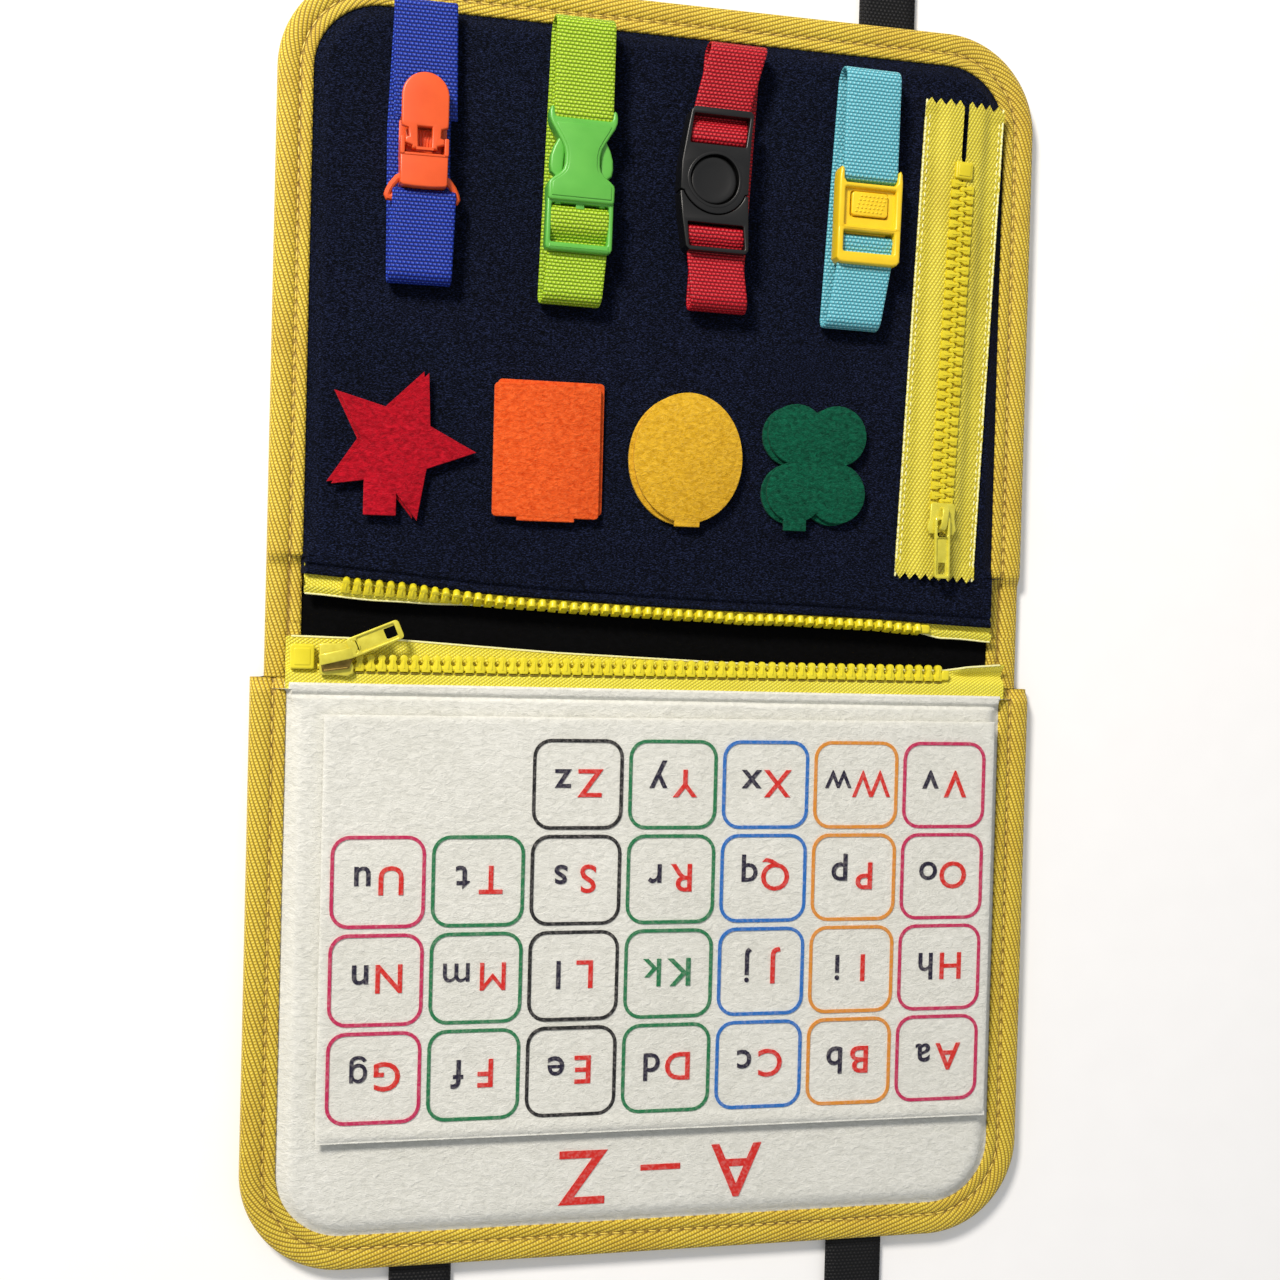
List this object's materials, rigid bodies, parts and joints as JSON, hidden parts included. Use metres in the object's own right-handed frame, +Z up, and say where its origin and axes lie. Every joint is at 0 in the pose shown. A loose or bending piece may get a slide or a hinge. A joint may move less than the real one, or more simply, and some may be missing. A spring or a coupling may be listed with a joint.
{
  "type": "felt busy board",
  "caption": "Felt busy board that opens like a case: letter card, webbing straps with different buckles, a play zipper, lift-up felt shapes and a zipped pocket.",
  "frame": {"origin": "middle of the underside of the spine, on the surface that the open board lies on", "axes": "+Z up out of the pages, +Y from the lower cover across the spine to the upper cover, +X to the right of both"},
  "size_m": [0.31, 0.574, 0.0244],
  "materials": {
    "black_felt": "felt",
    "navy_felt": "felt",
    "white_felt": "felt",
    "yellow_twill": "twill tape",
    "black_webbing": "woven webbing",
    "hook_tape": "hook-and-loop tape",
    "zip_yellow": "woven zipper tape",
    "zip_teeth": "moulded",
    "zip_brass": "painted",
    "blue_webbing": "woven webbing",
    "lime_webbing": "woven webbing",
    "red_webbing": "woven webbing",
    "sky_webbing": "woven webbing",
    "orange_plastic": "moulded",
    "green_plastic": "moulded",
    "black_plastic": "moulded",
    "yellow_plastic": "moulded",
    "red_felt": "felt",
    "orange_felt": "felt",
    "amber_felt": "felt",
    "green_felt": "felt"
  },
  "bodies": {
    "lower_cover": {"lower_shell": "black_felt", "lower_page": "white_felt", "lower_binding": "yellow_twill", "card_pad_left_near": "hook_tape", "card_pad_left_far": "hook_tape", "card_pad_right_near": "hook_tape", "card_pad_right_far": "hook_tape"},
    "lower_handle": {"lower_handle": "black_webbing"},
    "letter_card": {"letter_card": "white_felt"},
    "lower_lip": {"pocket_zip_lower": "zip_yellow", "pocket_box": "zip_teeth"},
    "pocket_slider": {"pocket_slider": "zip_brass"},
    "pocket_pull": {"pocket_pull": "zip_brass"},
    "spine": {"spine_shell": "black_felt", "spine_binding_left": "yellow_twill", "spine_binding_right": "yellow_twill"},
    "upper_cover": {"upper_shell": "black_felt", "upper_page": "navy_felt", "upper_binding": "yellow_twill", "play_zip_left": "zip_yellow", "play_zip_right": "zip_yellow", "play_box": "zip_teeth", "blue_strap": "blue_webbing", "green_strap": "lime_webbing", "red_strap": "red_webbing", "sky_strap": "sky_webbing", "clip_base": "orange_plastic", "green_socket": "green_plastic", "black_socket": "black_plastic", "yellow_socket": "yellow_plastic", "star_base": "red_felt", "square_base": "orange_felt", "oval_base": "amber_felt", "clover_base": "green_felt"},
    "upper_handle": {"upper_handle": "black_webbing"},
    "upper_lip": {"upper_hem": "navy_felt", "pocket_zip_upper": "zip_yellow"},
    "play_slider": {"play_slider": "zip_brass"},
    "play_pull": {"play_pull": "zip_brass"},
    "clip_lever": {"clip_lever": "orange_plastic"},
    "clip_jaw": {"clip_jaw": "orange_plastic"},
    "green_plug": {"green_plug": "green_plastic", "green_tail": "lime_webbing"},
    "green_prong_left": {"green_prong_left": "green_plastic"},
    "green_prong_right": {"green_prong_right": "green_plastic"},
    "black_plug": {"black_plug": "black_plastic", "red_tail": "red_webbing"},
    "black_button": {"black_button": "black_plastic"},
    "yellow_plug": {"yellow_plug": "yellow_plastic", "sky_tail": "sky_webbing"},
    "yellow_button": {"yellow_button": "yellow_plastic"},
    "star_flap": {"star_flap": "red_felt"},
    "square_flap": {"square_flap": "orange_felt"},
    "oval_flap": {"oval_flap": "amber_felt"},
    "clover_flap": {"clover_flap": "green_felt"}
  },
  "joints": [
    {"name": "spine_fold", "type": "hinge", "parent": "lower_cover", "child": "spine", "pos_m": [0, -0.02, 0.003], "axis": [1, 0, 0], "range_deg": [0, 90]},
    {"name": "cover_fold", "type": "hinge", "parent": "spine", "child": "upper_cover", "pos_m": [0, 0.02, 0.003], "axis": [1, 0, 0], "range_deg": [0, 90], "deforming": ["upper_hem", "pocket_zip_upper"]},
    {"name": "lower_lip_fold", "type": "hinge", "parent": "lower_cover", "child": "lower_lip", "pos_m": [0, -0.0245, 0.01], "axis": [1, 0, 0], "range_deg": [0, 90]},
    {"name": "upper_lip_fold", "type": "hinge", "parent": "upper_cover", "child": "upper_lip", "pos_m": [0, 0.0245, 0.01], "axis": [-1, 0, 0], "range_deg": [0, 90]},
    {"name": "lower_handle_swing", "type": "hinge", "parent": "lower_cover", "child": "lower_handle", "pos_m": [0, -0.2432, 0.002], "axis": [1, 0, 0], "range_deg": [-90, 0]},
    {"name": "upper_handle_swing", "type": "hinge", "parent": "upper_cover", "child": "upper_handle", "pos_m": [0, 0.2432, 0.002], "axis": [-1, 0, 0], "range_deg": [-90, 0]},
    {"name": "letter_card_lift", "type": "slide", "parent": "lower_cover", "child": "letter_card", "axis": [0, 0, -1], "range_m": [-0.06, 0]},
    {"name": "pocket_slider_travel", "type": "slide", "parent": "lower_lip", "child": "pocket_slider", "axis": [-1, 0, 0], "range_m": [-0.235, 0]},
    {"name": "pocket_pull_swing", "type": "hinge", "parent": "pocket_slider", "child": "pocket_pull", "pos_m": [-0.1245, -0.0125, 0.01255], "axis": [-0.342, 0.9397, 0], "range_deg": [-150, 0]},
    {"name": "play_slider_travel", "type": "slide", "parent": "upper_cover", "child": "play_slider", "axis": [-0.0227, -0.9997, 0], "range_m": [-0.1245, 0], "deforming": ["play_zip_left", "play_zip_right"]},
    {"name": "play_pull_swing", "type": "hinge", "parent": "play_slider", "child": "play_pull", "pos_m": [0.11188, 0.04712, 0.01685], "axis": [0.9997, -0.0227, 0], "range_deg": [-150, 0]},
    {"name": "clip_lever_swing", "type": "hinge", "parent": "upper_cover", "child": "clip_lever", "pos_m": [-0.098, 0.1729, 0.0199], "axis": [-1, 0, 0], "range_deg": [-85, 0]},
    {"name": "clip_jaw_swing", "type": "hinge", "parent": "upper_cover", "child": "clip_jaw", "pos_m": [-0.098, 0.1718, 0.0171], "axis": [-1, 0, 0], "range_deg": [-9, 0]},
    {"name": "green_plug_travel", "type": "slide", "parent": "upper_cover", "child": "green_plug", "axis": [0.0175, 0.9998, 0], "range_m": [-0.028, 0], "deforming": ["green_prong_left", "green_prong_right", "green_tail"]},
    {"name": "green_prong_left_flex", "type": "hinge", "parent": "green_plug", "child": "green_prong_left", "pos_m": [-0.04889, 0.15765, 0.019], "axis": [0, 0, 1], "range_deg": [-8, 0], "stiffness_Nm_per_rad": 0.2},
    {"name": "green_prong_right_flex", "type": "hinge", "parent": "green_plug", "child": "green_prong_right", "pos_m": [-0.03189, 0.15735, 0.019], "axis": [0, 0, -1], "range_deg": [-8, 0], "stiffness_Nm_per_rad": 0.2},
    {"name": "black_plug_travel", "type": "slide", "parent": "upper_cover", "child": "black_plug", "axis": [0.0175, 0.9998, 0], "range_m": [-0.026, 0], "deforming": ["red_tail"]},
    {"name": "black_button_press", "type": "slide", "parent": "upper_cover", "child": "black_button", "axis": [0, 0, 1], "range_m": [-0.0018, 0], "stiffness_N_per_m": 900},
    {"name": "yellow_plug_travel", "type": "slide", "parent": "upper_cover", "child": "yellow_plug", "axis": [0.0175, 0.9998, 0], "range_m": [-0.02, 0], "deforming": ["sky_tail"]},
    {"name": "yellow_button_press", "type": "slide", "parent": "upper_cover", "child": "yellow_button", "axis": [0, 0, 1], "range_m": [-0.0012, 0], "stiffness_N_per_m": 900},
    {"name": "star_flap_lift", "type": "hinge", "parent": "upper_cover", "child": "star_flap", "pos_m": [-0.11, 0.0402, 0.01215], "axis": [-1, 0, 0], "range_deg": [-160, 0]},
    {"name": "square_flap_lift", "type": "hinge", "parent": "upper_cover", "child": "square_flap", "pos_m": [-0.0481, 0.0402, 0.01215], "axis": [-1, 0, 0], "range_deg": [-160, 0]},
    {"name": "oval_flap_lift", "type": "hinge", "parent": "upper_cover", "child": "oval_flap", "pos_m": [0.007, 0.0402, 0.01215], "axis": [-1, 0, 0], "range_deg": [-160, 0]},
    {"name": "clover_flap_lift", "type": "hinge", "parent": "upper_cover", "child": "clover_flap", "pos_m": [0.0588, 0.0402, 0.01215], "axis": [-1, 0, 0], "range_deg": [-160, 0]}
  ],
  "couplings": [
    {"joint": "lower_lip_fold", "follows": "spine_fold", "ratio": 1},
    {"joint": "upper_lip_fold", "follows": "cover_fold", "ratio": 1},
    {"joint": "clip_jaw_swing", "follows": "clip_lever_swing", "ratio": 0.105}
  ]
}
